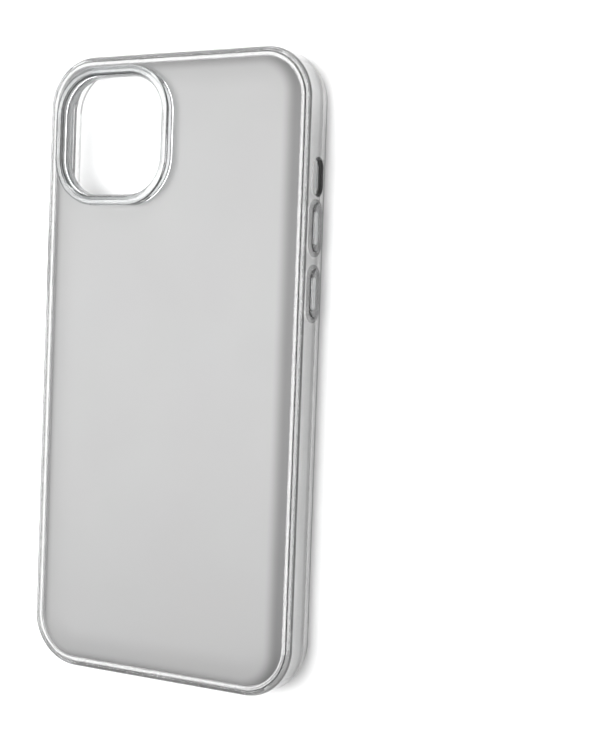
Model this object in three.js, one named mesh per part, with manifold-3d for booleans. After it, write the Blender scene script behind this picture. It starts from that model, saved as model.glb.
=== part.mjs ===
// A clear phone case: a satin back panel in a clear bumper frame, with a raised camera guard and three
// key caps that slide in the side walls.
// Millimetres. The case lies on its front lip: X across, +Y to the camera end, +Z out of the back.
// The origin is at the middle of the case, in the plane of the front lip.

import * as THREE from "three";
import { mergeVertices } from "three/addons/utils/BufferGeometryUtils.js";
import Module from "manifold-3d";

const wasm = await Module();
wasm.setup();

// The phone that the case is made for.
const phoneWidth = 77.8;
const phoneLength = 160.9;
const phoneThickness = 7.8;
const phoneCornerRadius = 12;
const phoneFit = 0.15;

// Bumper frame.
const sideWall = 1.5;
const lipHeight = 1;
const lipOverhang = 1.2;
const lipInnerRound = 0.35;
const frontRoundHeight = 2.2;
const frontRoundDepth = 0.8;
const rimShelf = 1.15;
const rimStep = 0.5;
const rimOuterRound = 1.1;
const rimInnerRound = 0.4;
const beadWidth = 1.15;
const beadRise = 0.3;
const beadEdgeRound = 0.15;

// Back panel.
const panelThickness = 1.3;
const panelEdgeThickness = 0.75;
const tongueThickness = 0.6;
const pillowMargin = 7.5;

// Camera opening and its guard.
const cameraOpeningWidth = 31.7;
const cameraOpeningLength = 31.9;
const cameraOpeningRadius = 10.4;
const guardWall = 2.4;
const guardRise = 2.95;
const guardTopRound = 0.7;
const guardInnerRound = 0.4;
const guardStepWidth = 0.45;
const guardStepHeight = 1;
const guardFlange = 1.15;
const guardSideGap = 1.25;
const guardEndGap = 0.5;

// Key caps. Each is centred on the thickness of the phone.
const keyHeight = 4;
const keyProud = 0.5;
const keyEdgeRound = 0.3;
const keyTravel = 0.35;
const keyStop = 0.1;
const keyGap = 0.3;
const keyFootLengthShare = 0.7;
const keyFootHeightShare = 0.45;
const volumeKeyLength = 12;
const volumeKeySpacing = 4.4;
const powerKeyLength = 17.5;
const powerKeyFromTop = 51.8;
const membraneThickness = 0.35;
const membraneLap = 1;

// Openings in the walls.
const switchFromTop = 30.9;
const switchLength = 9.2;
const switchHeight = 4.6;
const switchToVolumeKey = 2.2;
const portLength = 13;
const portHeight = 6;
const soundSlotLength = 14;
const soundSlotHeight = 3.4;
const soundSlotX = 18.5;
const mouthWidening = 0.5;
const mouthDepth = 0.5;

// Fits and facets.
const bondGap = 0.1;
const cutReach = 4;
const cornerSegments = 9;
const roundSegments = 3;
const pillowSegments = 5;
const edgeSegments = 2;

// Sizes and heights that follow from the values above.
const bayWidth = phoneWidth + 2 * phoneFit;
const bayLength = phoneLength + 2 * phoneFit;
const caseWidth = bayWidth + 2 * sideWall;
const caseLength = bayLength + 2 * sideWall;
const caseCornerRadius = phoneCornerRadius + phoneFit + sideWall;
const bayTop = lipHeight + phoneThickness + phoneFit;
const panelTop = bayTop + panelThickness;
const rimTop = panelTop + rimStep;
const keyZ = lipHeight + phoneThickness / 2;
const lipInset = sideWall + phoneFit + lipOverhang;
const rimWidth = sideWall + rimShelf;
const guardWidth = cameraOpeningWidth + 2 * guardWall;
const guardLength = cameraOpeningLength + 2 * guardWall;
const cameraX = guardWidth / 2 + guardSideGap + rimWidth - caseWidth / 2;
const cameraY = caseLength / 2 - rimWidth - guardEndGap - guardLength / 2;
const switchY = phoneLength / 2 - switchFromTop;
const volumeUpY = switchY - switchLength / 2 - switchToVolumeKey - volumeKeyLength / 2;
const volumeDownY = volumeUpY - volumeKeyLength - volumeKeySpacing;
const powerY = phoneLength / 2 - powerKeyFromTop;

// ---------------------------------------------------------------- shapes

// Points of a rounded rectangle centred on the origin.
function roundedRectangle(width, length, radius) {
  const x = width / 2 - radius;
  const y = length / 2 - radius;
  const shape = new THREE.Shape();
  shape.absarc(x, y, radius, 0, Math.PI / 2);
  shape.absarc(-x, y, radius, Math.PI / 2, Math.PI);
  shape.absarc(-x, -y, radius, Math.PI, 1.5 * Math.PI);
  shape.absarc(x, -y, radius, 1.5 * Math.PI, 2 * Math.PI);
  return shape.getPoints(cornerSegments);
}

// A body whose outline is one rounded rectangle, inset by a different amount at each level.
// Each level is [inset, z]. An open list is capped at both ends; a closed one makes a ring.
function loft(width, length, radius, levels, closed) {
  const positions = [];
  const indices = [];
  for (const [inset, z] of levels) {
    for (const point of roundedRectangle(width - 2 * inset, length - 2 * inset, radius - inset)) {
      positions.push(point.x, point.y, z);
    }
  }
  const ringSize = positions.length / 3 / levels.length;
  const steps = closed ? levels.length : levels.length - 1;
  for (let level = 0; level < steps; level += 1) {
    const lower = level * ringSize;
    const upper = ((level + 1) % levels.length) * ringSize;
    for (let i = 0; i < ringSize; i += 1) {
      const next = (i + 1) % ringSize;
      indices.push(lower + i, lower + next, upper + next);
      indices.push(lower + i, upper + next, upper + i);
    }
  }
  if (!closed) {
    const last = (levels.length - 1) * ringSize;
    for (let i = 1; i < ringSize - 1; i += 1) {
      indices.push(0, i + 1, i);
      indices.push(last, last + i, last + i + 1);
    }
  }
  const geometry = new THREE.BufferGeometry();
  geometry.setAttribute("position", new THREE.Float32BufferAttribute(positions, 3));
  geometry.setIndex(indices);
  return geometry;
}

// Levels of a quarter ellipse that starts upright at [startInset, startZ] and ends flat, or the reverse.
function quarterRound(startInset, startZ, endInset, endZ, startsUpright, segments) {
  const levels = [];
  for (let i = 0; i <= segments; i += 1) {
    const angle = (i / segments) * (Math.PI / 2);
    const along = startsUpright ? 1 - Math.cos(angle) : Math.sin(angle);
    const up = startsUpright ? Math.sin(angle) : 1 - Math.cos(angle);
    levels.push([startInset + (endInset - startInset) * along, startZ + (endZ - startZ) * up]);
  }
  return levels;
}

// A slot outline with round ends, long in X.
function pill(length, height) {
  const reach = (length - height) / 2;
  const radius = height / 2;
  const shape = new THREE.Shape();
  shape.absarc(reach, 0, radius, -Math.PI / 2, Math.PI / 2);
  shape.absarc(-reach, 0, radius, Math.PI / 2, 1.5 * Math.PI);
  return shape;
}

// A pill-shaped bar from `from` to `to` along the extrusion axis, its end edges rounded by `round`.
function pillBar(length, height, from, to, round = 0) {
  const geometry = new THREE.ExtrudeGeometry(pill(length, height), {
    depth: to - from - 2 * round,
    curveSegments: 2 * roundSegments,
    bevelEnabled: round > 0,
    bevelThickness: round,
    bevelSize: round,
    bevelOffset: -round,
    bevelSegments: edgeSegments,
  });
  geometry.translate(0, 0, from + round);
  return geometry;
}

// ---------------------------------------------------------------- booleans

function toSolid(geometry) {
  const bare = geometry.clone();
  bare.deleteAttribute("normal");
  bare.deleteAttribute("uv");
  const merged = mergeVertices(bare, 1e-5);
  return new wasm.Manifold(new wasm.Mesh({
    numProp: 3,
    vertProperties: new Float32Array(merged.attributes.position.array),
    triVerts: new Uint32Array(merged.index.array),
  }));
}

function toGeometry(solid) {
  const mesh = solid.getMesh();
  const geometry = new THREE.BufferGeometry();
  geometry.setAttribute("position", new THREE.Float32BufferAttribute(mesh.vertProperties, 3));
  geometry.setIndex(Array.from(mesh.triVerts));
  geometry.computeVertexNormals();
  return geometry;
}

function cut(geometry, cutters) {
  let solid = toSolid(geometry);
  for (const cutter of cutters) {
    solid = solid.subtract(toSolid(cutter));
  }
  return toGeometry(solid);
}

function join(geometries) {
  let solid = toSolid(geometries[0]);
  for (const geometry of geometries.slice(1)) {
    solid = solid.add(toSolid(geometry));
  }
  return toGeometry(solid);
}

// ---------------------------------------------------------------- placing on the walls

// Turns a shape drawn in X and Y and extruded in Z to face a side wall: X goes along the wall, Y goes up
// and Z goes out of the wall. `side` is 1 for the wall at +X and -1 for the wall at -X.
function onSideWall(geometry, side, y, z) {
  geometry.rotateX(Math.PI / 2);
  geometry.rotateZ(side * Math.PI / 2);
  geometry.translate(side * bayWidth / 2, y, z);
  return geometry;
}

// The same for the wall at the bottom end of the case, at -Y.
function onBottomWall(geometry, x, z) {
  geometry.rotateX(Math.PI / 2);
  geometry.translate(x, -bayLength / 2, z);
  return geometry;
}

// An opening through a wall, with a wider mouth at its outer face.
function wallOpening(length, height) {
  const widening = 2 * mouthWidening;
  const mouthFrom = sideWall - mouthDepth;
  return [
    pillBar(length, height, -cutReach, cutReach),
    pillBar(length + widening, height + widening, mouthFrom, cutReach),
  ];
}

// ---------------------------------------------------------------- keys

// Every key: which wall, where along it, and how long its cap is.
const keys = [
  { name: "volume_up", side: 1, y: volumeUpY, length: volumeKeyLength },
  { name: "volume_down", side: 1, y: volumeDownY, length: volumeKeyLength },
  { name: "power", side: -1, y: powerY, length: powerKeyLength },
];

// Depths are measured outwards from the inner face of the wall.
const membraneFrom = bondGap / 2;
const membraneTo = membraneFrom + membraneThickness;
const membranePocket = membraneTo + bondGap;
const capFrom = membraneTo + keyTravel + keyStop;
const capTo = sideWall + keyProud;

function footLength(key) {
  return key.length * keyFootLengthShare;
}

const footHeight = keyHeight * keyFootHeightShare;

// The slot that the cap slides in, and the pocket behind it for the membrane.
function keySlot(key) {
  const lap = 2 * (keyGap + membraneLap);
  return [
    onSideWall(pillBar(key.length + 2 * keyGap, keyHeight + 2 * keyGap, 0, cutReach), key.side, key.y, keyZ),
    onSideWall(pillBar(key.length + lap, keyHeight + lap, -phoneFit, membranePocket), key.side, key.y, keyZ),
  ];
}

// The cap and the foot that reaches through the membrane to the phone's own key.
function keyCap(key) {
  const head = pillBar(key.length, keyHeight, capFrom, capTo, keyEdgeRound);
  const foot = pillBar(footLength(key), footHeight, membraneFrom, capFrom + keyEdgeRound * 2);
  return onSideWall(join([head, foot]), key.side, key.y, keyZ);
}

// The thin ring behind the cap, with a window for the foot.
function keyMembrane(key) {
  const lap = 2 * (keyGap + membraneLap - bondGap);
  const sheet = pillBar(key.length + lap, keyHeight + lap, membraneFrom, membraneTo);
  const window = pillBar(footLength(key) + 2 * keyGap, footHeight + 2 * keyGap, -cutReach, cutReach);
  return onSideWall(cut(sheet, [window]), key.side, key.y, keyZ);
}

// ---------------------------------------------------------------- frame, panel and guard

// Walls, rear rim and front lip in one ring. The section runs up the outside, over the shoulder and the
// bead of the rear rim, down the inside of the bay and out under the lip.
function bumperFrame() {
  const tongueTop = bayTop + tongueThickness + bondGap;
  const shoulderTop = rimTop - beadRise;
  const beadFrom = rimWidth - beadWidth;
  const section = [
    ...quarterRound(frontRoundDepth, 0, 0, frontRoundHeight, false, roundSegments),
    ...quarterRound(0, shoulderTop - rimOuterRound, rimOuterRound, shoulderTop, true, roundSegments),
    [beadFrom, shoulderTop],
    ...quarterRound(beadFrom, rimTop - beadEdgeRound, beadFrom + beadEdgeRound, rimTop, true, edgeSegments),
    ...quarterRound(rimWidth - rimInnerRound, rimTop, rimWidth, rimTop - rimInnerRound, false, edgeSegments),
    [rimWidth, tongueTop],
    [sideWall, tongueTop],
    [sideWall, lipHeight],
    [lipInset, lipHeight],
    ...quarterRound(lipInset, lipInnerRound, lipInset - lipInnerRound, 0, true, edgeSegments),
  ];
  const ring = loft(caseWidth, caseLength, caseCornerRadius, section, true);
  const openings = [
    ...wallOpening(switchLength, switchHeight).map((cutter) => onSideWall(cutter, 1, switchY, keyZ)),
    ...wallOpening(portLength, portHeight).map((cutter) => onBottomWall(cutter, 0, keyZ)),
  ];
  for (const x of [-soundSlotX, soundSlotX]) {
    const slot = wallOpening(soundSlotLength, soundSlotHeight);
    openings.push(...slot.map((cutter) => onBottomWall(cutter, x, keyZ)));
  }
  for (const key of keys) {
    openings.push(...keySlot(key));
  }
  return cut(ring, openings);
}

// Outline of the guard, `inset` inwards from its outer wall.
function guardOutline(levels, closed) {
  return loft(guardWidth, guardLength, cameraOpeningRadius + guardWall, levels, closed);
}

// Plate with a tongue round its edge, a curved margin and a flat land under the guard.
function backPanel() {
  const tongue = sideWall + bondGap;
  const edge = rimWidth + bondGap;
  const plate = loft(caseWidth, caseLength, caseCornerRadius, [
    [tongue, bayTop],
    [tongue, bayTop + tongueThickness],
    [edge, bayTop + tongueThickness],
    ...quarterRound(edge, bayTop + panelEdgeThickness, edge + pillowMargin, panelTop, true, pillowSegments),
  ], false);
  const land = guardOutline([[0, bayTop], [0, panelTop]], false);
  land.translate(cameraX, cameraY, 0);
  const hole = guardOutline([[guardFlange, 0], [guardFlange, panelTop + cutReach]], false);
  hole.translate(cameraX, cameraY, 0);
  return cut(join([plate, land]), [hole]);
}

// Ring that stands on the land, with a spigot down through the panel and a step inside.
function cameraGuard() {
  const base = panelTop + bondGap;
  const top = panelTop + guardRise;
  const spigot = guardFlange + bondGap;
  const step = guardWall + guardStepWidth;
  const ring = guardOutline([
    [spigot, bayTop + bondGap],
    [spigot, base],
    [0, base],
    ...quarterRound(0, top - guardTopRound, guardTopRound, top, true, roundSegments),
    ...quarterRound(guardWall - guardInnerRound, top, guardWall, top - guardInnerRound, false, edgeSegments),
    [guardWall, panelTop + guardStepHeight],
    [step, panelTop + guardStepHeight],
    [step, bayTop + bondGap],
  ], true);
  ring.translate(cameraX, cameraY, 0);
  return toGeometry(toSolid(ring));
}

// ---------------------------------------------------------------- materials

function satinPolycarbonate() {
  return new THREE.MeshStandardMaterial({ color: 0xc9cacb, roughness: 0.45, metalness: 0 });
}

function clearTpu() {
  return new THREE.MeshStandardMaterial({ color: 0xe4e6e6, roughness: 0.12, metalness: 0 });
}

function clearPolycarbonate() {
  return new THREE.MeshStandardMaterial({ color: 0xeceeee, roughness: 0.06, metalness: 0 });
}

function softMembrane() {
  return new THREE.MeshStandardMaterial({ color: 0xd9dcdc, roughness: 0.35, metalness: 0 });
}

// ---------------------------------------------------------------- the assembly

function piece(name, geometry, material) {
  const mesh = new THREE.Mesh(geometry, material);
  mesh.name = name;
  return mesh;
}

const phoneCase = new THREE.Group();
phoneCase.add(piece("bumper_frame", bumperFrame(), clearTpu()));
phoneCase.add(piece("back_panel", backPanel(), satinPolycarbonate()));
phoneCase.add(piece("camera_guard", cameraGuard(), clearPolycarbonate()));
for (const key of keys) {
  phoneCase.add(piece(`${key.name}_button`, keyCap(key), clearPolycarbonate()));
  phoneCase.add(piece(`${key.name}_membrane`, keyMembrane(key), softMembrane()));
}

export default phoneCase;
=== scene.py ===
"""A clear phone case: satin back panel, clear bumper frame, camera guard and three sliding key caps."""

import math

import bmesh
import bpy
from mathutils import Matrix, Vector


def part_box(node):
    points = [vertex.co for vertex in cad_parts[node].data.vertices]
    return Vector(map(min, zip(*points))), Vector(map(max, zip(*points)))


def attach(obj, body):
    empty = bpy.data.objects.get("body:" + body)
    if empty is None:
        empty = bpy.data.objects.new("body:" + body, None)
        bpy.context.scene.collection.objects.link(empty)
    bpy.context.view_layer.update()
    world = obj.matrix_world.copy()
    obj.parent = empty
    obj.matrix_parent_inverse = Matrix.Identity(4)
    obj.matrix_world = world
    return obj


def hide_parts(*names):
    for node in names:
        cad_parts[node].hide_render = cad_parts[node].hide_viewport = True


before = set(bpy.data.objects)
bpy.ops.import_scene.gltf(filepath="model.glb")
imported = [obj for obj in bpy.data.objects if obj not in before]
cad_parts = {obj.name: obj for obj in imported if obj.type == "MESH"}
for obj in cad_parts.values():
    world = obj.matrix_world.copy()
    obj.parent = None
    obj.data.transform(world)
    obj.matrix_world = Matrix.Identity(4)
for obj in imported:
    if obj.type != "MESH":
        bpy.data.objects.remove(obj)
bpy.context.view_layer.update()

# ------------------------------------------------------------------ camera, light and table
# The case lies on its front lip with its back up, on a pale table under soft studio light, and it is seen
# from its key side, a little above the middle.
scene = bpy.context.scene
scene.view_settings.view_transform = "Standard"

camera_place = Vector((0.22795, 0.01348, 0.34153))
camera_aim = Vector((0.03754, 0.002, 0.0055))
camera_roll = math.radians(2.08)
camera_data = bpy.data.cameras.new("studio_camera")
camera_data.lens = 75.5
camera_data.sensor_width = 36
camera = bpy.data.objects.new("studio_camera", camera_data)
scene.collection.objects.link(camera)
back = (camera_place - camera_aim).normalized()
right = Vector((0, 1, 0)).cross(back).normalized()
up = back.cross(right)
turn = Matrix((right, up, back)).transposed().to_4x4()
camera.matrix_world = Matrix.Translation(camera_place) @ turn @ Matrix.Rotation(camera_roll, 4, "Z")
scene.camera = camera


def softbox(name, place, aim, size, power):
    """A rectangular studio light that faces a point."""
    data = bpy.data.lights.new(name, "AREA")
    data.shape = "RECTANGLE"
    data.size, data.size_y = size
    data.energy = power
    light = bpy.data.objects.new(name, data)
    light.location = place
    light.rotation_euler = (Vector(aim) - Vector(place)).to_track_quat("-Z", "Y").to_euler()
    scene.collection.objects.link(light)


softbox("key_softbox", place=(-0.28, 0.03, 0.64), aim=(0, 0.05, 0), size=(0.52, 0.75), power=6.9)
softbox("top_softbox", place=(-0.1, 0.75, 0.5), aim=(0, 0, 0), size=(0.6, 0.3), power=4.2)
softbox("side_softbox", place=(0.62, -0.1, 0.3), aim=(0, 0, 0), size=(0.5, 0.3), power=2.6)


def grey(level):
    """A neutral colour."""
    return level, level, level, 1


# The sky is dark near the horizon, for dark lines in the clear plastic, and pale where it is seen directly.
horizon_height, horizon_level = 0.05, 0.082
overhead_height, overhead_level = 0.75, 0.96
backdrop_level = 2.35
sky_strength = 0.45
world = bpy.data.worlds.new("studio")
world.use_nodes = True
sky = world.node_tree
sky_place = sky.nodes.new("ShaderNodeTexCoord")
sky_split = sky.nodes.new("ShaderNodeSeparateXYZ")
sky_ramp = sky.nodes.new("ShaderNodeValToRGB")
for stop, height, level in zip(sky_ramp.color_ramp.elements, (horizon_height, overhead_height),
                               (horizon_level, overhead_level)):
    stop.position = height
    stop.color = grey(level)
sky.links.new(sky_place.outputs["Generated"], sky_split.inputs["Vector"])
sky.links.new(sky_split.outputs["Z"], sky_ramp.inputs["Fac"])
sky_path = sky.nodes.new("ShaderNodeLightPath")
backdrop = sky.nodes.new("ShaderNodeMix")
backdrop.data_type = "RGBA"
backdrop.inputs["B"].default_value = grey(backdrop_level)
sky.links.new(sky_path.outputs["Is Camera Ray"], backdrop.inputs["Factor"])
sky.links.new(sky_ramp.outputs["Color"], backdrop.inputs["A"])
sky.links.new(backdrop.outputs["Result"], sky.nodes["Background"].inputs["Color"])
sky.nodes["Background"].inputs["Strength"].default_value = sky_strength
scene.world = world

table_reach = 0.6
table_level = 0.93
table_roughness = 0.8
table_mesh = bpy.data.meshes.new("table")
table_corners = [(x * table_reach, y * table_reach, 0) for x, y in ((-1, -1), (1, -1), (1, 1), (-1, 1))]
table_mesh.from_pydata(table_corners, [], [(0, 1, 2, 3)])
table = bpy.data.objects.new("table", table_mesh)
scene.collection.objects.link(table)
table_material = bpy.data.materials.new("table_white")
table_material.use_nodes = True
table_shader = table_material.node_tree.nodes["Principled BSDF"]
table_shader.inputs["Base Color"].default_value = grey(table_level)
table_shader.inputs["Roughness"].default_value = table_roughness
table_mesh.materials.append(table_material)


# ------------------------------------------------------------------ bumper frame
# The soft frame is one injection moulding in clear TPU: side walls, a bead round the back, and a lip that
# hooks over the screen. Its openings are cored by the mould, so their edges are slightly rounded.

def node(tree, kind, **settings):
    """A new node; settings are its properties."""
    made = tree.nodes.new(kind)
    for name, value in settings.items():
        setattr(made, name, value)
    return made


def sweep_tree():
    """Sweeps a closed section round a rounded rectangle. Both have their corners rounded in the tree: each
    section corner by its own radius."""
    tree = bpy.data.node_groups.new("sweep_round_outline", "GeometryNodeTree")
    tree.interface.new_socket("Section", in_out="INPUT", socket_type="NodeSocketGeometry")
    for name in ("Width", "Length", "Corner Radius"):
        tree.interface.new_socket(name, in_out="INPUT", socket_type="NodeSocketFloat")
    for name in ("Corner Steps", "Edge Steps"):
        tree.interface.new_socket(name, in_out="INPUT", socket_type="NodeSocketInt")
    tree.interface.new_socket("Material", in_out="INPUT", socket_type="NodeSocketMaterial")
    tree.interface.new_socket("Geometry", in_out="OUTPUT", socket_type="NodeSocketGeometry")
    given = node(tree, "NodeGroupInput")
    outline = node(tree, "GeometryNodeCurvePrimitiveQuadrilateral", mode="RECTANGLE")
    round_outline = node(tree, "GeometryNodeFilletCurve")
    upright = node(tree, "GeometryNodeSetCurveNormal", mode="Z_UP")
    round_section = node(tree, "GeometryNodeFilletCurve")
    own_radius = node(tree, "GeometryNodeInputRadius")
    sweep = node(tree, "GeometryNodeCurveToMesh")
    merge = node(tree, "GeometryNodeMergeByDistance")
    real = node(tree, "GeometryNodeRealizeInstances")
    paint = node(tree, "GeometryNodeSetMaterial")
    out = node(tree, "NodeGroupOutput")
    for fillet in (round_outline, round_section):
        fillet.inputs["Limit Radius"].default_value = True
        if "Mode" in fillet.inputs:
            fillet.inputs["Mode"].default_value = "Poly"
        else:
            fillet.mode = "POLY"
    merge.inputs["Distance"].default_value = 1e-7
    link = tree.links.new
    link(given.outputs["Width"], outline.inputs["Width"])
    link(given.outputs["Length"], outline.inputs["Height"])
    link(outline.outputs["Curve"], round_outline.inputs["Curve"])
    link(given.outputs["Corner Steps"], round_outline.inputs["Count"])
    link(given.outputs["Corner Radius"], round_outline.inputs["Radius"])
    link(round_outline.outputs["Curve"], upright.inputs["Curve"])
    link(given.outputs["Section"], round_section.inputs["Curve"])
    link(given.outputs["Edge Steps"], round_section.inputs["Count"])
    link(own_radius.outputs["Radius"], round_section.inputs["Radius"])
    link(upright.outputs["Curve"], sweep.inputs["Curve"])
    link(round_section.outputs["Curve"], sweep.inputs["Profile Curve"])
    link(sweep.outputs["Mesh"], merge.inputs["Geometry"])
    link(merge.outputs["Geometry"], real.inputs["Geometry"])
    link(real.outputs["Geometry"], paint.inputs["Geometry"])
    link(given.outputs["Material"], paint.inputs["Material"])
    link(paint.outputs["Geometry"], out.inputs["Geometry"])
    return tree


SWEEP = sweep_tree()


def plain_mesh(source, name):
    """The evaluated object as a plain mesh object, its modifiers gone."""
    evaluated = source.evaluated_get(bpy.context.evaluated_depsgraph_get())
    mesh = bpy.data.meshes.new_from_object(evaluated)
    bpy.data.objects.remove(source)
    mesh.name = name
    made = bpy.data.objects.new(name, mesh)
    scene.collection.objects.link(made)
    return made


def keep_result(piece, cutters):
    """The piece with its modifiers applied, under its own name, and the cutters gone."""
    name = piece.name
    finished = plain_mesh(piece, name)
    finished.name = name
    for cutter in cutters:
        bpy.data.objects.remove(cutter)
    return finished


def sweep_round(name, section, width, length, radius, corner_steps, edge_steps, material):
    """A ring with that section. The section's corners are (inset from the outline, height, rounding)."""
    curve = bpy.data.curves.new(name + "_section", "CURVE")
    curve.dimensions = "2D"
    spline = curve.splines.new("POLY")
    spline.points.add(len(section) - 1)
    for point, (inset, height, rounding) in zip(spline.points, reversed(section)):
        point.co = (-inset, -height, 0, 1)
        point.radius = rounding
    spline.use_cyclic_u = True
    source = bpy.data.objects.new(name + "_source", curve)
    scene.collection.objects.link(source)
    modifier = source.modifiers.new("sweep", "NODES")
    modifier.node_group = SWEEP
    values = {
        "Width": width, "Length": length, "Corner Radius": radius,
        "Corner Steps": corner_steps, "Edge Steps": edge_steps, "Material": material,
    }
    for item in SWEEP.interface.items_tree:
        if item.in_out == "INPUT" and item.name in values:
            modifier[item.identifier] = values[item.name]
    return plain_mesh(source, name)


def noise(tree, coordinates, scale, detail, **settings):
    """A noise texture on the piece's own Object coordinates, which are metres."""
    made = node(tree, "ShaderNodeTexNoise", **settings)
    made.inputs["Scale"].default_value = scale
    made.inputs["Detail"].default_value = detail
    tree.links.new(coordinates, made.inputs["Vector"])
    return made


def socket(group, name, direction, kind, value=None):
    """An input or output of a shader group."""
    made = group.interface.new_socket(name, in_out=direction, socket_type=kind)
    if value is not None:
        made.default_value = value
    return made


def moulded_surface_group():
    """Polished moulding: a slow flow ripple as a height, and faint handling haze as a roughness."""
    group = bpy.data.node_groups.new("moulded_surface", "ShaderNodeTree")
    socket(group, "Ripple Scale", "INPUT", "NodeSocketFloat", 120)
    socket(group, "Haze Scale", "INPUT", "NodeSocketFloat", 60)
    socket(group, "Smoothest", "INPUT", "NodeSocketFloat", 0.02)
    socket(group, "Roughest", "INPUT", "NodeSocketFloat", 0.08)
    socket(group, "Roughness", "OUTPUT", "NodeSocketFloat")
    socket(group, "Ripple", "OUTPUT", "NodeSocketFloat")
    given = node(group, "NodeGroupInput")
    out = node(group, "NodeGroupOutput")
    place = node(group, "ShaderNodeTexCoord").outputs["Object"]
    ripple = noise(group, place, 120, 1)
    haze = noise(group, place, 60, 5)
    spread = node(group, "ShaderNodeMapRange")
    spread.inputs["From Min"].default_value = 0.35
    spread.inputs["From Max"].default_value = 0.7
    link = group.links.new
    link(given.outputs["Ripple Scale"], ripple.inputs["Scale"])
    link(given.outputs["Haze Scale"], haze.inputs["Scale"])
    link(haze.outputs["Fac"], spread.inputs["Value"])
    link(given.outputs["Smoothest"], spread.inputs["To Min"])
    link(given.outputs["Roughest"], spread.inputs["To Max"])
    link(spread.outputs["Result"], out.inputs["Roughness"])
    link(ripple.outputs["Fac"], out.inputs["Ripple"])
    return group


MOULDED = moulded_surface_group()


def inset_group():
    """How far a point is inside a rounded rectangle, in metres."""
    group = bpy.data.node_groups.new("distance_inside_outline", "ShaderNodeTree")
    for title in ("Half Width", "Half Length", "Corner Radius"):
        socket(group, title, "INPUT", "NodeSocketFloat", 0.04)
    socket(group, "Centre X", "INPUT", "NodeSocketFloat", 0.0)
    socket(group, "Centre Y", "INPUT", "NodeSocketFloat", 0.0)
    socket(group, "Distance", "OUTPUT", "NodeSocketFloat")
    given = node(group, "NodeGroupInput")
    out = node(group, "NodeGroupOutput")
    split = node(group, "ShaderNodeSeparateXYZ")
    link = group.links.new
    link(node(group, "ShaderNodeTexCoord").outputs["Object"], split.inputs["Vector"])

    def maths(operation, first, second=None):
        made = node(group, "ShaderNodeMath", operation=operation)
        for slot_number, value in enumerate((first, second)):
            if isinstance(value, (int, float)):
                made.inputs[slot_number].default_value = value
            elif value is not None:
                link(value, made.inputs[slot_number])
        return made.outputs["Value"]

    radius = given.outputs["Corner Radius"]
    beyond = []
    for axis, half in (("X", "Half Width"), ("Y", "Half Length")):
        core = maths("SUBTRACT", given.outputs[half], radius)
        from_centre = maths("SUBTRACT", split.outputs[axis], given.outputs["Centre " + axis])
        beyond.append(maths("SUBTRACT", maths("ABSOLUTE", from_centre), core))
    clamped = [maths("MAXIMUM", value, 0) for value in beyond]
    squares = [maths("MULTIPLY", value, value) for value in clamped]
    outside = maths("SQRT", maths("ADD", *squares))
    inside = maths("MINIMUM", maths("MAXIMUM", *beyond), 0)
    signed = maths("SUBTRACT", maths("ADD", outside, inside), radius)
    link(maths("MULTIPLY", signed, -1), out.inputs["Distance"])
    return group


def band_group():
    """1 where a value lies between two limits, with soft ends."""
    group = bpy.data.node_groups.new("band_mask", "ShaderNodeTree")
    for title in ("Value", "From", "To", "Softness"):
        socket(group, title, "INPUT", "NodeSocketFloat", 0.0)
    socket(group, "Mask", "OUTPUT", "NodeSocketFloat")
    given = node(group, "NodeGroupInput")
    out = node(group, "NodeGroupOutput")
    both = node(group, "ShaderNodeMath", operation="MULTIPLY")
    link = group.links.new
    for number, limit in enumerate(("From", "To")):
        rise = node(group, "ShaderNodeMapRange", interpolation_type="SMOOTHSTEP")
        rise.inputs["To Min"].default_value = number
        rise.inputs["To Max"].default_value = 1 - number
        for end, operation in (("From Min", "SUBTRACT"), ("From Max", "ADD")):
            at = node(group, "ShaderNodeMath", operation=operation)
            link(given.outputs[limit], at.inputs[0])
            link(given.outputs["Softness"], at.inputs[1])
            link(at.outputs["Value"], rise.inputs[end])
        link(given.outputs["Value"], rise.inputs["Value"])
        link(rise.outputs["Result"], both.inputs[number])
    link(both.outputs["Value"], out.inputs["Mask"])
    return group


BAND = band_group()


def band(tree, value, start, end, softness):
    """A band mask of a value."""
    made = node(tree, "ShaderNodeGroup")
    made.node_tree = BAND
    made.inputs["From"].default_value = start
    made.inputs["To"].default_value = end
    made.inputs["Softness"].default_value = softness
    tree.links.new(value, made.inputs["Value"])
    return made.outputs["Mask"]


def both_masks(tree, first, second):
    """A mask for where both masks are on."""
    made = node(tree, "ShaderNodeMath", operation="MULTIPLY")
    tree.links.new(first, made.inputs[0])
    tree.links.new(second, made.inputs[1])
    return made.outputs["Value"]


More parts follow.
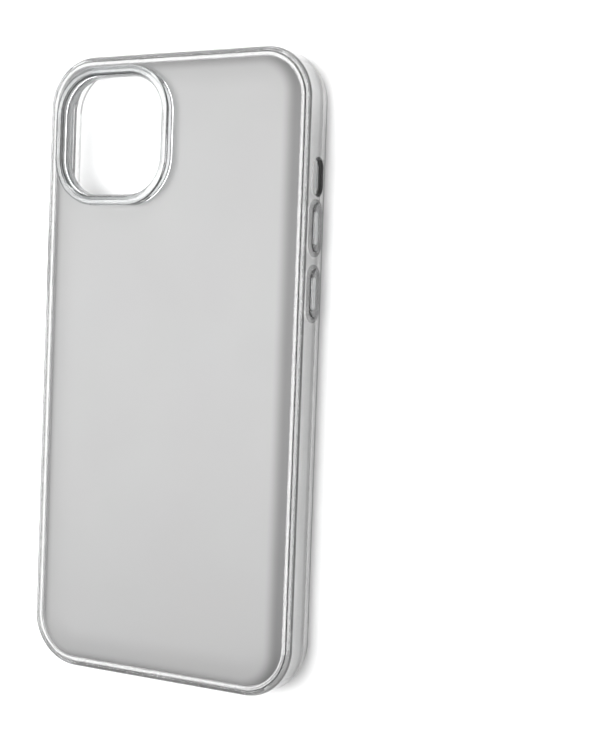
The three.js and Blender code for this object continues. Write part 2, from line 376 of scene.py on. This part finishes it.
def clear_plastic(name, tint, clarity, ior, gloss, ripple, inside):
    """Clear moulded plastic. `gloss` is its smoothest and roughest, and `ripple` the scale and height of its
    flow marks. `inside` is the tint and density that make light which goes a long way in it greyer."""
    material = bpy.data.materials.new(name)
    material.use_nodes = True
    tree = material.node_tree
    shader = tree.nodes["Principled BSDF"]
    shader.inputs["Base Color"].default_value = (*tint, 1)
    shader.inputs["Transmission Weight"].default_value = clarity
    shader.inputs["IOR"].default_value = ior
    surface = node(tree, "ShaderNodeGroup")
    surface.node_tree = MOULDED
    surface.inputs["Ripple Scale"].default_value = ripple[0]
    surface.inputs["Smoothest"].default_value = gloss[0]
    surface.inputs["Roughest"].default_value = gloss[1]
    bump = node(tree, "ShaderNodeBump")
    bump.inputs["Distance"].default_value = ripple[1]
    bump.inputs["Strength"].default_value = 1
    path = node(tree, "ShaderNodeLightPath")
    clear = node(tree, "ShaderNodeBsdfTransparent")
    clear.inputs["Color"].default_value = (*tint, 1)
    mix = node(tree, "ShaderNodeMixShader")
    link = tree.links.new
    link(surface.outputs["Roughness"], shader.inputs["Roughness"])
    link(surface.outputs["Ripple"], bump.inputs["Height"])
    link(bump.outputs["Normal"], shader.inputs["Normal"])
    link(path.outputs["Is Shadow Ray"], mix.inputs["Fac"])
    link(shader.outputs["BSDF"], mix.inputs[1])
    link(clear.outputs["BSDF"], mix.inputs[2])
    link(mix.outputs["Shader"], tree.nodes["Material Output"].inputs["Surface"])
    absorption = node(tree, "ShaderNodeVolumeAbsorption")
    absorption.inputs["Color"].default_value = (*inside[0], 1)
    absorption.inputs["Density"].default_value = inside[1]
    link(absorption.outputs["Volume"], tree.nodes["Material Output"].inputs["Volume"])
    return material


PILL_STEPS = 24


def pill_prism(centre, along, outward, length, height, depth_in, depth_out, flare=0.0):
    """A bar with round ends that cuts an opening: `along` runs on the wall, `outward` through it. Its outer
    end opens out by `flare`, as a draft."""
    mesh = bpy.data.meshes.new("cutter")
    bm = bmesh.new()
    across = outward.cross(along)
    rings = []
    for depth, grow in ((-depth_in, 0), (depth_out, flare)):
        radius = height / 2 + grow
        reach = (length - height) / 2
        ring = []
        for side in (1, -1):
            for step in range(PILL_STEPS + 1):
                angle = math.pi * step / PILL_STEPS - math.pi / 2
                u = side * (reach + radius * math.cos(angle))
                v = side * radius * math.sin(angle)
                ring.append(bm.verts.new(centre + along * u + across * v + outward * depth))
        rings.append(ring)
    count = len(rings[0])
    for i in range(count):
        bm.faces.new((rings[0][i], rings[0][(i + 1) % count], rings[1][(i + 1) % count], rings[1][i]))
    bm.faces.new(rings[0][::-1])
    bm.faces.new(rings[1])
    bmesh.ops.recalc_face_normals(bm, faces=bm.faces)
    bm.to_mesh(mesh)
    bm.free()
    cutter = bpy.data.objects.new("cutter", mesh)
    scene.collection.objects.link(cutter)
    return cutter


def combine(piece, other, operation):
    """Adds or cuts away another body."""
    boolean = piece.modifiers.new("combine", "BOOLEAN")
    boolean.operation = operation
    boolean.solver = "EXACT"
    boolean.object = other


def cut_openings(piece, cutters, edge_round):
    """Cuts each opening, then rounds the sharp edges that the cuts leave."""
    for cutter in cutters:
        combine(piece, cutter, "DIFFERENCE")
    bevel = piece.modifiers.new("edge", "BEVEL")
    bevel.width = edge_round
    bevel.segments = 3
    bevel.limit_method = "ANGLE"
    bevel.angle_limit = math.radians(50)
    bevel.use_clamp_overlap = True
    return keep_result(piece, cutters)


def shade_smooth(piece, sharp_angle=35):
    """Smooth shading in which the large faces keep their own direction."""
    for face in piece.data.polygons:
        face.use_smooth = True
    piece.data.set_sharp_from_angle(angle=math.radians(sharp_angle))
    weighted = piece.modifiers.new("face_weight", "WEIGHTED_NORMAL")
    weighted.keep_sharp = True
    weighted.weight = 80


frame_low, frame_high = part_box("bumper_frame")
panel_low, panel_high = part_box("back_panel")
case_width = frame_high.x - frame_low.x
case_length = frame_high.y - frame_low.y
rim_top = frame_high.z
bay_top = panel_low.z
side_wall = 0.0015
corner_radius = 0.01365
lip_height = 0.001
lip_inset = 0.00285
rim_width = 0.00265
tongue_top = bay_top + 0.0007
front_round_depth, front_round_height = 0.0008, 0.0023
rim_round_height = 0.0012
bead_inset = 0.00155
groove_inset = 0.0014
shoulder_inset = 0.0004
shoulder_top = rim_top - 0.0003
groove_bottom = rim_top - 0.00065

# The closed section of the frame. Each corner is its inset from the outline, its height and its rounding.
frame_section = [
    (front_round_depth, 0, 0.0006),
    (0, front_round_height, 0.004),
    (0, rim_top - rim_round_height, 0.0007),
    (shoulder_inset, shoulder_top - 0.00006, 0.0004),
    (groove_inset - 0.0002, shoulder_top, 0.0001),
    (groove_inset, groove_bottom, 0.00008),
    (bead_inset, rim_top, 0.00015),
    (rim_width, rim_top, 0.0004),
    (rim_width, tongue_top, 0.0001),
    (side_wall, tongue_top, 0.0001),
    (side_wall, lip_height, 0.0003),
    (lip_inset, lip_height, 0.0002),
    (lip_inset, 0, 0.0004),
]
tpu_tint = (0.953, 0.953, 0.953)
clear_tpu = clear_plastic("clear_tpu", tpu_tint, clarity=0.9, ior=1.5, gloss=(0.01, 0.05),
                          ripple=(90, 0.000002), inside=((0.3, 0.31, 0.31), 75))
tpu_tree = clear_tpu.node_tree
tpu_shader = tpu_tree.nodes["Principled BSDF"]
tpu_link = tpu_tree.links.new
from_outside = node(tpu_tree, "ShaderNodeGroup")
from_outside.node_tree = inset_group()
from_outside.inputs["Half Width"].default_value = case_width / 2
from_outside.inputs["Half Length"].default_value = case_length / 2
from_outside.inputs["Corner Radius"].default_value = corner_radius
frame_axes = node(tpu_tree, "ShaderNodeSeparateXYZ")
tpu_link(node(tpu_tree, "ShaderNodeTexCoord").outputs["Object"], frame_axes.inputs["Vector"])
height_up = frame_axes.outputs["Z"]
outside = -0.001


def section_part(insets, heights, inset_softness, height_softness):
    """A mask for the part of the frame between two insets and two heights."""
    return both_masks(tpu_tree, band(tpu_tree, from_outside.outputs["Distance"], *insets, inset_softness),
                      band(tpu_tree, height_up, *heights, height_softness))


# The bay side of the wall is textured matt, and its colour is painted greyer towards the lip as painted
# shade.
matt_and_shaded_face = section_part((0.0014, 0.004), (0.003, tongue_top - 0.0001), 0.00003, 0.0002)
matt_roughness = 0.35
fade_from, fade_to = 0.003, 0.009
wall_shade_levels = (0.425, 0.765)
fade = node(tpu_tree, "ShaderNodeMapRange")
fade.inputs["From Min"].default_value = fade_from
fade.inputs["From Max"].default_value = fade_to
wall_shade_ramp = node(tpu_tree, "ShaderNodeValToRGB")
for stop, level in zip(wall_shade_ramp.color_ramp.elements, wall_shade_levels):
    stop.color = grey(level)
tpu_link(height_up, fade.inputs["Value"])
tpu_link(fade.outputs["Result"], wall_shade_ramp.inputs["Fac"])
tint = node(tpu_tree, "ShaderNodeMix", data_type="RGBA")
tint.inputs["A"].default_value = (*tpu_tint, 1)
tpu_link(matt_and_shaded_face, tint.inputs["Factor"])
tpu_link(wall_shade_ramp.outputs["Color"], tint.inputs["B"])

# Thin dark lines of painted shade in the colour: on the openings' cut edges, in the groove, on the shoulder,
# at the foot by the table and as a strip along the outer wall. Each is a mask and its grey level.
cut_edge_shade = section_part((0.00012, 0.00135), (0.0014, 0.0088), 0.00004, 0.0001)
groove_shade = section_part((0.0013, 0.00152), (rim_top - 0.0007, rim_top - 0.0001), 0.00004, 0.00005)
shoulder_shade = section_part((outside, 0.0003), (rim_top - 0.0011, rim_top - 0.0005), 0.00004, 0.00008)
foot_contact_shade = section_part((outside, 0.0009), (outside, 0.0013), 0.00005, 0.0001)
wall_shade_strip = section_part((outside, 0.0003), (0.0037, 0.0054), 0.00005, 0.0004)
painted_shade_lines = (
    (cut_edge_shade, 0.02), (groove_shade, 0.02), (shoulder_shade, 0.06), (foot_contact_shade, 0.015), (wall_shade_strip, 0.55),
)
for mask, level in painted_shade_lines:
    line = node(tpu_tree, "ShaderNodeMix", data_type="RGBA")
    line.inputs["B"].default_value = grey(level)
    tpu_link(mask, line.inputs["Factor"])
    tpu_link(tint.outputs["Result"], line.inputs["A"])
    tint = line
tpu_link(tint.outputs["Result"], tpu_shader.inputs["Base Color"])
matt = node(tpu_tree, "ShaderNodeMix", data_type="FLOAT")
matt.inputs["B"].default_value = matt_roughness
tpu_link(tpu_shader.inputs["Roughness"].links[0].from_socket, matt.inputs["A"])
tpu_link(matt_and_shaded_face, matt.inputs["Factor"])
tpu_link(matt.outputs["Result"], tpu_shader.inputs["Roughness"])
bumper = sweep_round("bumper", frame_section, case_width, case_length, corner_radius,
                     corner_steps=24, edge_steps=5, material=clear_tpu)

X, Y, Z = Vector((1, 0, 0)), Vector((0, 1, 0)), Vector((0, 0, 1))
key_gap = 0.0003
pocket_lap = 0.001
pocket_from, pocket_to = 0.0001, 0.0005
wall_reach = 0.004
bay_reach = 0.001
wall_face = case_width / 2 - side_wall
end_face = case_length / 2 - side_wall
openings = []
for key in ("volume_up", "volume_down", "power"):
    low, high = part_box(key + "_button")
    side = 1 if low.x > 0 else -1
    centre = Vector((side * wall_face, (low.y + high.y) / 2, (low.z + high.z) / 2))
    length, height = high.y - low.y + 2 * key_gap, high.z - low.z + 2 * key_gap
    openings.append(pill_prism(centre, Y * side, X * side, length, height, wall_reach, wall_reach))
    openings.append(pill_prism(centre, Y * side, X * side, length + 2 * pocket_lap, height + 2 * pocket_lap,
                               pocket_from, pocket_to))

# The other openings widen outwards by a draft: each is its middle, its directions and its size.
opening_z = 0.0049
draft_from, draft_depth = 0.001, 0.001
draft_start, draft = 0.0004, 0.0004
plain_openings = [
    (Vector((wall_face, 0.04955, opening_z)), Y, X, 0.0092, 0.0046),
    (Vector((0, -end_face, opening_z)), X, -Y, 0.013, 0.006),
    (Vector((0.0185, -end_face, opening_z)), X, -Y, 0.014, 0.0034),
    (Vector((-0.0185, -end_face, opening_z)), X, -Y, 0.014, 0.0034),
]
for place, along, outward, length, height in plain_openings:
    openings.append(pill_prism(place, along, outward, length, height, bay_reach, wall_reach))
    openings.append(pill_prism(place + outward * draft_from, along, outward, length + draft_start,
                               height + draft_start, 0, draft_depth, draft))
opening_edge_round = 0.00012
bumper = cut_openings(bumper, openings, opening_edge_round)
shade_smooth(bumper)
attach(bumper, "case")
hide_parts("bumper_frame")


# ------------------------------------------------------------------ back panel
# A hard polycarbonate plate with a satin frost, moulded into the frame by the tongue round its edge. It is
# flat in the middle and curves down to the bead, where its colour is painted darker as shade.
def rounded_outline(width, length, radius, steps):
    """Points of a rounded rectangle round the origin."""
    points = []
    for quarter in range(4):
        x = (1, -1, -1, 1)[quarter] * (width / 2 - radius)
        y = (1, 1, -1, -1)[quarter] * (length / 2 - radius)
        for step in range(steps + 1):
            angle = math.pi / 2 * (quarter + step / steps)
            points.append((x + radius * math.cos(angle), y + radius * math.sin(angle)))
    return points


def loft_body(name, rings, material):
    """A closed body through rings of points, each ring at its own height."""
    bm = bmesh.new()
    made = [[bm.verts.new((x, y, height)) for x, y in points] for points, height in rings]
    count = len(made[0])
    for lower, upper in zip(made, made[1:]):
        for i in range(count):
            j = (i + 1) % count
            bm.faces.new((lower[i], lower[j], upper[j], upper[i]))
    bm.faces.new(made[0][::-1])
    bm.faces.new(made[-1])
    mesh = bpy.data.meshes.new(name)
    bm.to_mesh(mesh)
    bm.free()
    mesh.materials.append(material)
    piece = bpy.data.objects.new(name, mesh)
    scene.collection.objects.link(piece)
    return piece


# Painted shade: the colour is darker at the margin, more so at the key side, and fades out over this
# distance.
shade_margin_width = 0.0042
shade_margin_shift = (-0.0016, -0.0003)
shade_margin_past_ends = 0.0018
margin_shade_level, middle_level = 0.085, 0.272


def satin_polycarbonate():
    """Frosted hard plastic: a grey body that lets some light through, a fine spark-eroded grain, and painted
    shade: a darker colour where it curves down at the margin."""
    material = bpy.data.materials.new("satin_polycarbonate")
    material.use_nodes = True
    tree = material.node_tree
    shader = tree.nodes["Principled BSDF"]
    shader.inputs["Transmission Weight"].default_value = 0.12
    shader.inputs["IOR"].default_value = 1.58
    link = tree.links.new
    place = node(tree, "ShaderNodeTexCoord").outputs["Object"]
    edge = node(tree, "ShaderNodeGroup")
    edge.node_tree = inset_group()
    edge.inputs["Half Width"].default_value = case_width / 2 - rim_width
    edge.inputs["Half Length"].default_value = case_length / 2 - rim_width + shade_margin_past_ends
    edge.inputs["Corner Radius"].default_value = corner_radius - rim_width
    edge.inputs["Centre X"].default_value, edge.inputs["Centre Y"].default_value = shade_margin_shift
    margin_shade = node(tree, "ShaderNodeMapRange", interpolation_type="SMOOTHSTEP")
    margin_shade.inputs["From Min"].default_value = 0
    margin_shade.inputs["From Max"].default_value = shade_margin_width
    tint = node(tree, "ShaderNodeValToRGB")
    for stop, level in zip(tint.color_ramp.elements, (margin_shade_level, middle_level)):
        stop.color = grey(level)
    cloud = noise(tree, place, 45, 3)
    cloudy = node(tree, "ShaderNodeMix", data_type="RGBA", blend_type="MULTIPLY")
    cloudy.inputs["Factor"].default_value = 0.02
    grain = noise(tree, place, 9000, 2)
    haze = noise(tree, place, 70, 4)
    rough = node(tree, "ShaderNodeMapRange")
    rough.inputs["From Min"].default_value = 0.3
    rough.inputs["From Max"].default_value = 0.7
    rough.inputs["To Min"].default_value = 0.385
    rough.inputs["To Max"].default_value = 0.415
    bump = node(tree, "ShaderNodeBump")
    bump.inputs["Distance"].default_value = 0.000004
    bump.inputs["Strength"].default_value = 0.6
    link(edge.outputs["Distance"], margin_shade.inputs["Value"])
    link(margin_shade.outputs["Result"], tint.inputs["Fac"])
    link(tint.outputs["Color"], cloudy.inputs["A"])
    link(cloud.outputs["Color"], cloudy.inputs["B"])
    link(cloudy.outputs["Result"], shader.inputs["Base Color"])
    link(haze.outputs["Fac"], rough.inputs["Value"])
    link(rough.outputs["Result"], shader.inputs["Roughness"])
    link(grain.outputs["Fac"], bump.inputs["Height"])
    link(bump.outputs["Normal"], shader.inputs["Normal"])
    return material


bond_gap = 0.0001
tongue_inset = side_wall + bond_gap
tongue_thickness = 0.0006
panel_inset = rim_width + bond_gap
edge_round = 0.0001
panel_top = panel_high.z
panel_edge_top = bay_top + 0.00075
pillow_start = 0.00005
pillow_margin = 0.0075
pillow_steps = 20


def panel_ring(inset, height):
    """The panel's outline at one height."""
    outline = rounded_outline(case_width - 2 * inset, case_length - 2 * inset, corner_radius - inset, 24)
    return outline, height


panel_rings = [
    panel_ring(tongue_inset, bay_top),
    panel_ring(tongue_inset, bay_top + tongue_thickness),
    panel_ring(panel_inset, bay_top + tongue_thickness),
    panel_ring(panel_inset, panel_edge_top - edge_round),
]
for step in range(pillow_steps + 1):
    across = step / pillow_steps
    rise = 1 - (1 - across) ** 2
    panel_rings.append(panel_ring(panel_inset + pillow_margin * across + pillow_start,
                                  panel_edge_top + (panel_top - panel_edge_top) * rise))
satin = satin_polycarbonate()
panel = loft_body("panel", panel_rings, satin)

guard_low, guard_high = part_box("camera_guard")
camera_centre = (guard_low + guard_high) / 2
guard_width = guard_high.x - guard_low.x
guard_length = guard_high.y - guard_low.y
guard_radius = 0.0128
flange = 0.00115
land_lap, land_lift = 0.0001, 0.0003
hole_top = 0.02


def at_camera(piece):
    """Moves a piece drawn round the origin to the camera opening."""
    piece.data.transform(Matrix.Translation((camera_centre.x, camera_centre.y, 0)))
    return piece


def guard_ring(inset, height):
    """The guard's outline at one height."""
    outline = rounded_outline(guard_width - 2 * inset, guard_length - 2 * inset, guard_radius - inset, 24)
    return outline, height


land_rings = [guard_ring(-land_lap, bay_top + land_lift), guard_ring(-land_lap, panel_top)]
hole_rings = [guard_ring(flange, 0), guard_ring(flange, hole_top)]
land = at_camera(loft_body("land", land_rings, satin))
hole = at_camera(loft_body("hole", hole_rings, satin))
combine(panel, land, "UNION")
combine(panel, hole, "DIFFERENCE")
panel = keep_result(panel, (land, hole))
shade_smooth(panel, 30)
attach(panel, "case")
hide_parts("back_panel")


# ------------------------------------------------------------------ camera guard
# A polished ring of clear polycarbonate bonded on the panel's land. Its spigot goes down through the panel
# and its top stands above the phone's lenses.
guard_top = guard_high.z
guard_base = panel_top + bond_gap
spigot_foot = bay_top + bond_gap
guard_wall = 0.0024
guard_step = 0.00045
step_top = panel_top + 0.001

# The closed section of the ring: inset, height and rounding of each corner.
guard_section = [
    (flange + bond_gap, spigot_foot, 0.0001),
    (flange + bond_gap, guard_base, 0.00005),
    (0, guard_base, 0.00015),
    (0, guard_top - 0.0001, 0.0007),
    (0.0012, guard_top, 0.0003),
    (guard_wall - 0.0006, guard_top - 0.0001, 0.0003),
    (guard_wall, guard_top - 0.0007, 0.0003),
    (guard_wall, step_top, 0.0001),
    (guard_wall + guard_step, step_top, 0.0001),
    (guard_wall + guard_step, spigot_foot, 0.0001),
]
clear_polycarbonate = clear_plastic("clear_polycarbonate", (0.84, 0.85, 0.855), clarity=0.97, ior=1.58,
                                    gloss=(0.005, 0.03), ripple=(70, 0.000002),
                                    inside=((0.35, 0.36, 0.36), 150))
guard_tree = clear_polycarbonate.node_tree
guard_axes = node(guard_tree, "ShaderNodeSeparateXYZ")
guard_tree.links.new(node(guard_tree, "ShaderNodeTexCoord").outputs["Object"], guard_axes.inputs["Vector"])
guard_up = guard_axes.outputs["Z"]
guard_clear = (0.87, 0.88, 0.885, 1)
guard_shade_grey = (0.12, 0.12, 0.122, 1)

# Painted shade: a thin dark line is painted into the colour along the ring's top edge and along its step.
top_shade_line = (guard_top - 0.00075, guard_top - 0.0004)
step_shade_line = (step_top - 0.0002, step_top + 0.00015)
shade_line_softness = 0.00006
guard_colour = None
for low_edge, high_edge in (top_shade_line, step_shade_line):
    edge_shade_mask = band(guard_tree, guard_up, low_edge, high_edge, shade_line_softness)
    edge_shade_line = node(guard_tree, "ShaderNodeMix", data_type="RGBA")
    edge_shade_line.inputs["A"].default_value = guard_clear
    edge_shade_line.inputs["B"].default_value = guard_shade_grey
    guard_tree.links.new(edge_shade_mask, edge_shade_line.inputs["Factor"])
    if guard_colour is not None:
        guard_tree.links.new(guard_colour, edge_shade_line.inputs["A"])
    guard_colour = edge_shade_line.outputs["Result"]
guard_tree.links.new(guard_colour, guard_tree.nodes["Principled BSDF"].inputs["Base Color"])
guard = at_camera(sweep_round("guard", guard_section, guard_width, guard_length, guard_radius,
                              corner_steps=28, edge_steps=5, material=clear_polycarbonate))
shade_smooth(guard, 40)
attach(guard, "case")
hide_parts("camera_guard")


# ------------------------------------------------------------------ key caps
# Each cap is polished clear polycarbonate, shaped like a pill. Its foot goes through the membrane to the
# phone's own key, and it slides straight in when it is pressed.
def pill_outline(length, height):
    """Points of a slot shape round the origin, long in X."""
    steps = 16
    reach = (length - height) / 2
    points = []
    for side in (1, -1):
        for step in range(steps + 1):
            angle = math.pi * (step / steps - 0.5)
            x = side * (reach + height / 2 * math.cos(angle))
            points.append((x, side * height / 2 * math.sin(angle)))
    return points


def on_wall(piece, side, low, high):
    """Turns a piece drawn flat to face a side wall, at the middle of that box: its X runs along the wall."""
    place = Vector((side * wall_face, (low.y + high.y) / 2, (low.z + high.z) / 2))
    along, outward = Y * side, X * side
    turn = Matrix((along, Z, outward)).transposed().to_4x4()
    piece.data.transform(Matrix.Translation(place) @ turn)
    return piece


key_clear = (0.93, 0.935, 0.94)
clear_key = clear_plastic("clear_key_cap", key_clear, clarity=0.95, ior=1.58, gloss=(0.005, 0.03),
                          ripple=(150, 0.000002), inside=((0.35, 0.36, 0.36), 120))
key_tree = clear_key.node_tree
key_axes = node(key_tree, "ShaderNodeSeparateXYZ")
from_middle = node(key_tree, "ShaderNodeMath", operation="ABSOLUTE")
key_tree.links.new(node(key_tree, "ShaderNodeTexCoord").outputs["Object"], key_axes.inputs["Vector"])
key_tree.links.new(key_axes.outputs["X"], from_middle.inputs[0])

# Painted shade: the cap's sides are painted dark where they sit in the slot.
key_shade_from, key_shade_to, key_shade_softness = wall_face + 0.0005, wall_face + 0.00165, 0.00008
key_shade_level = 0.012
key_side_shade = band(key_tree, from_middle.outputs["Value"], key_shade_from, key_shade_to, key_shade_softness)
key_tint = node(key_tree, "ShaderNodeMix", data_type="RGBA")
key_tint.inputs["A"].default_value = (*key_clear, 1)
key_tint.inputs["B"].default_value = grey(key_shade_level)
key_tree.links.new(key_side_shade, key_tint.inputs["Factor"])
key_tree.links.new(key_tint.outputs["Result"], key_tree.nodes["Principled BSDF"].inputs["Base Color"])

foot_from = 0.00005
foot_round = 0.0001
foot_length_share, foot_height_share = 0.7, 0.45
head_from = 0.00085
head_round = 0.0003
top_round_spread = 1.6
crown_rise = 0.00008
crown_inset = 0.003
round_steps, top_round_steps = 4, 6
for key in ("volume_up", "volume_down", "power"):
    low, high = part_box(key + "_button")
    side = 1 if low.x > 0 else -1
    length, height = high.y - low.y, high.z - low.z
    foot_length, foot_height = length * foot_length_share, height * foot_height_share
    top = max(abs(low.x), abs(high.x)) - wall_face
    rings = []
    for step in range(round_steps + 1):
        angle = math.pi / 2 * step / round_steps
        shrink = foot_round * (1 - math.sin(angle))
        rings.append((pill_outline(foot_length - 2 * shrink, foot_height - 2 * shrink),
                      foot_from + foot_round * (1 - math.cos(angle))))
    rings.append((pill_outline(foot_length, foot_height), head_from))
    for step in range(round_steps + 1):
        angle = math.pi / 2 * step / round_steps
        shrink = head_round * (1 - math.sin(angle))
        rings.append((pill_outline(length - 2 * shrink, height - 2 * shrink),
                      head_from + head_round * (1 - math.cos(angle))))
    for step in range(top_round_steps + 1):
        angle = math.pi / 2 * step / top_round_steps
        shrink = head_round * top_round_spread * (1 - math.cos(angle))
        rings.append((pill_outline(length - 2 * shrink, height - 2 * shrink),
                      top - crown_rise - head_round * (1 - math.sin(angle))))
    rings.append((pill_outline(length - crown_inset, height - crown_inset), top))
    cap = on_wall(loft_body(key + "_cap", rings, clear_key), side, low, high)
    shade_smooth(cap, 40)
    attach(cap, key + "_key")
    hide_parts(key + "_button")


# ------------------------------------------------------------------ key membranes
# A thin ring of soft hazy TPU is bonded in the pocket behind each slot. Its rolled section lets the cap's
# foot move in and springs it back.
soft_tpu = clear_plastic("soft_tpu", (0.86, 0.87, 0.875), clarity=0.8, ior=1.5, gloss=(0.25, 0.4),
                         ripple=(200, 0.000004), inside=((0.3, 0.31, 0.31), 120))
foot_clearance = 0.00012
rim_thickness = 0.00035
window_thickness = 0.0003
roll_rise = 0.00007
for key in ("volume_up", "volume_down", "power"):
    low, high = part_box(key + "_membrane")
    cap_low, cap_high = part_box(key + "_button")
    side = 1 if low.x > 0 else -1
    length, height = high.y - low.y, high.z - low.z
    ring_width = (height - (cap_high.z - cap_low.z) * foot_height_share) / 2 - foot_clearance
    membrane_section = [
        (0, foot_from, 0.00008),
        (0, foot_from + rim_thickness, 0.00008),
        (ring_width * 0.4, foot_from + rim_thickness, 0.0002),
        (ring_width * 0.6, foot_from + rim_thickness + roll_rise, 0.0002),
        (ring_width * 0.8, foot_from + window_thickness, 0.0002),
        (ring_width, foot_from + window_thickness, 0.00008),
        (ring_width, foot_from, 0.00008),
    ]
    membrane = sweep_round(key + "_rolled_membrane", membrane_section, length, height, height / 2,
                           corner_steps=20, edge_steps=4, material=soft_tpu)
    on_wall(membrane, side, cap_low, cap_high)
    shade_smooth(membrane, 50)
    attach(membrane, "case")
    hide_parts(key + "_membrane")
